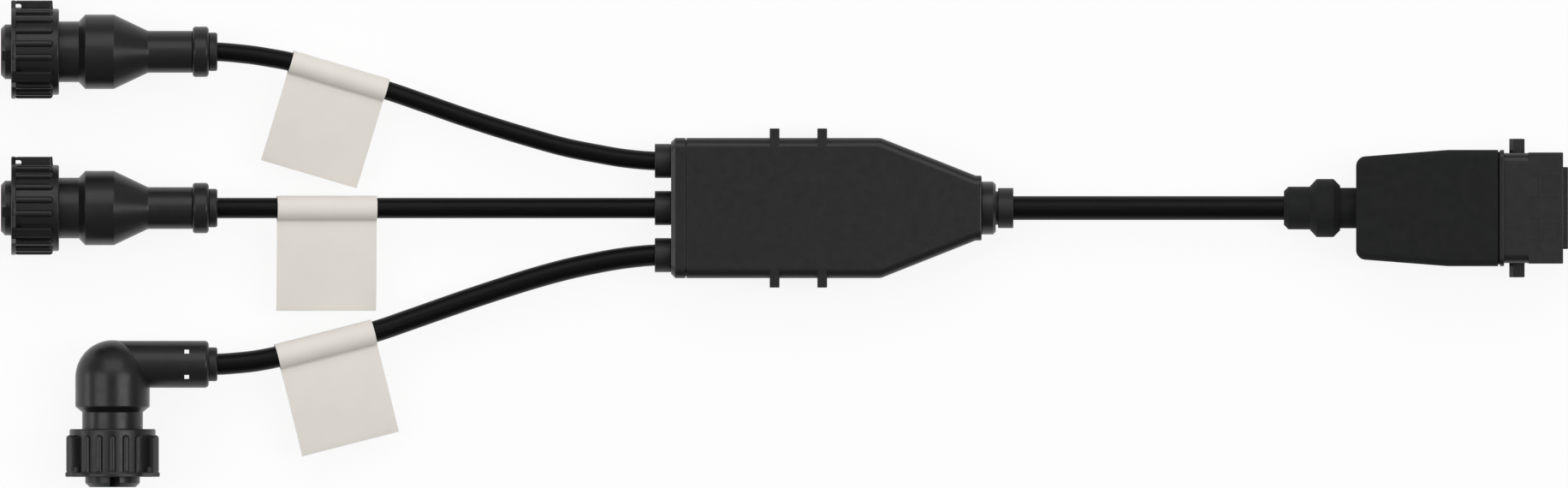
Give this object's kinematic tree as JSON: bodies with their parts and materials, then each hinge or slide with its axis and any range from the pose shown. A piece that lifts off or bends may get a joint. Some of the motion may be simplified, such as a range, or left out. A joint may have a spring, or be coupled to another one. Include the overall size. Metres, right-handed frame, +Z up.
{
  "type": "three-to-one splitter cable harness",
  "caption": "Splitter harness: straight and right-angle circular connectors with ribbed coupling rings, labelled branch cables, a moulded splitter box and a trunk cable to a hooded plug.",
  "frame": {"origin": "centre of the splitter box's flat underside, on the surface that the harness lies on", "axes": "+X along the trunk cable to the plug, +Y to the upper branch, +Z up from the underside"},
  "size_m": [0.5494, 0.1705, 0.033],
  "materials": {
    "shell_plastic": "fine moulded grain",
    "insert_plastic": "matt",
    "black_rubber": "matt",
    "plated_brass": "plated",
    "cable_jacket": "smooth extruded jacket",
    "label_film": "satin film",
    "board_laminate": "solder mask"
  },
  "bodies": {
    "harness": {"upper_backshell": "shell_plastic", "upper_clamp_nut": "shell_plastic", "middle_backshell": "shell_plastic", "middle_clamp_nut": "shell_plastic", "elbow_backshell": "shell_plastic", "splitter_housing": "shell_plastic", "splitter_end_plate": "shell_plastic", "splitter_trunk_collar": "shell_plastic", "plug_strain_relief": "shell_plastic", "plug_hood": "shell_plastic", "plug_frame": "shell_plastic", "plug_upper_peg": "shell_plastic", "plug_lower_peg": "shell_plastic", "upper_contact_insert": "insert_plastic", "middle_contact_insert": "insert_plastic", "elbow_contact_insert": "insert_plastic", "elbow_clamp_sleeve": "insert_plastic", "splitter_branch_terminal": "insert_plastic", "splitter_trunk_terminal": "insert_plastic", "plug_insert": "insert_plastic", "upper_face_seal": "black_rubber", "upper_cable_seal": "black_rubber", "middle_face_seal": "black_rubber", "middle_cable_seal": "black_rubber", "elbow_face_seal": "black_rubber", "elbow_cable_seal": "black_rubber", "splitter_upper_grommet": "black_rubber", "splitter_middle_grommet": "black_rubber", "splitter_lower_grommet": "black_rubber", "splitter_trunk_grommet": "black_rubber", "plug_hood_gasket": "black_rubber", "upper_contact_1": "plated_brass", "upper_contact_2": "plated_brass", "upper_contact_3": "plated_brass", "upper_contact_4": "plated_brass", "middle_contact_1": "plated_brass", "middle_contact_2": "plated_brass", "middle_contact_3": "plated_brass", "middle_contact_4": "plated_brass", "elbow_contact_1": "plated_brass", "elbow_contact_2": "plated_brass", "elbow_contact_3": "plated_brass", "elbow_contact_4": "plated_brass", "plug_contact_1": "plated_brass", "plug_contact_2": "plated_brass", "plug_contact_3": "plated_brass", "plug_contact_4": "plated_brass", "upper_cable": "cable_jacket", "middle_cable": "cable_jacket", "lower_cable": "cable_jacket", "trunk_cable": "cable_jacket", "upper_label": "label_film", "middle_label": "label_film", "lower_label": "label_film", "splitter_splice_board": "board_laminate"},
    "upper_ring": {"upper_coupling_ring": "shell_plastic"},
    "middle_ring": {"middle_coupling_ring": "shell_plastic"},
    "elbow_ring": {"elbow_coupling_ring": "shell_plastic"}
  },
  "joints": [
    {"name": "upper_ring_turn", "type": "hinge", "parent": "harness", "child": "upper_ring", "pos_m": [-0.28935, 0.05475, 0.0165], "axis": [1, 0, 0], "continuous": true},
    {"name": "middle_ring_turn", "type": "hinge", "parent": "harness", "child": "middle_ring", "pos_m": [-0.28935, 0, 0.0165], "axis": [1, 0, 0], "continuous": true},
    {"name": "elbow_ring_turn", "type": "hinge", "parent": "harness", "child": "elbow_ring", "pos_m": [-0.2502, -0.0978, 0.0165], "axis": [0, 1, 0], "continuous": true}
  ]
}
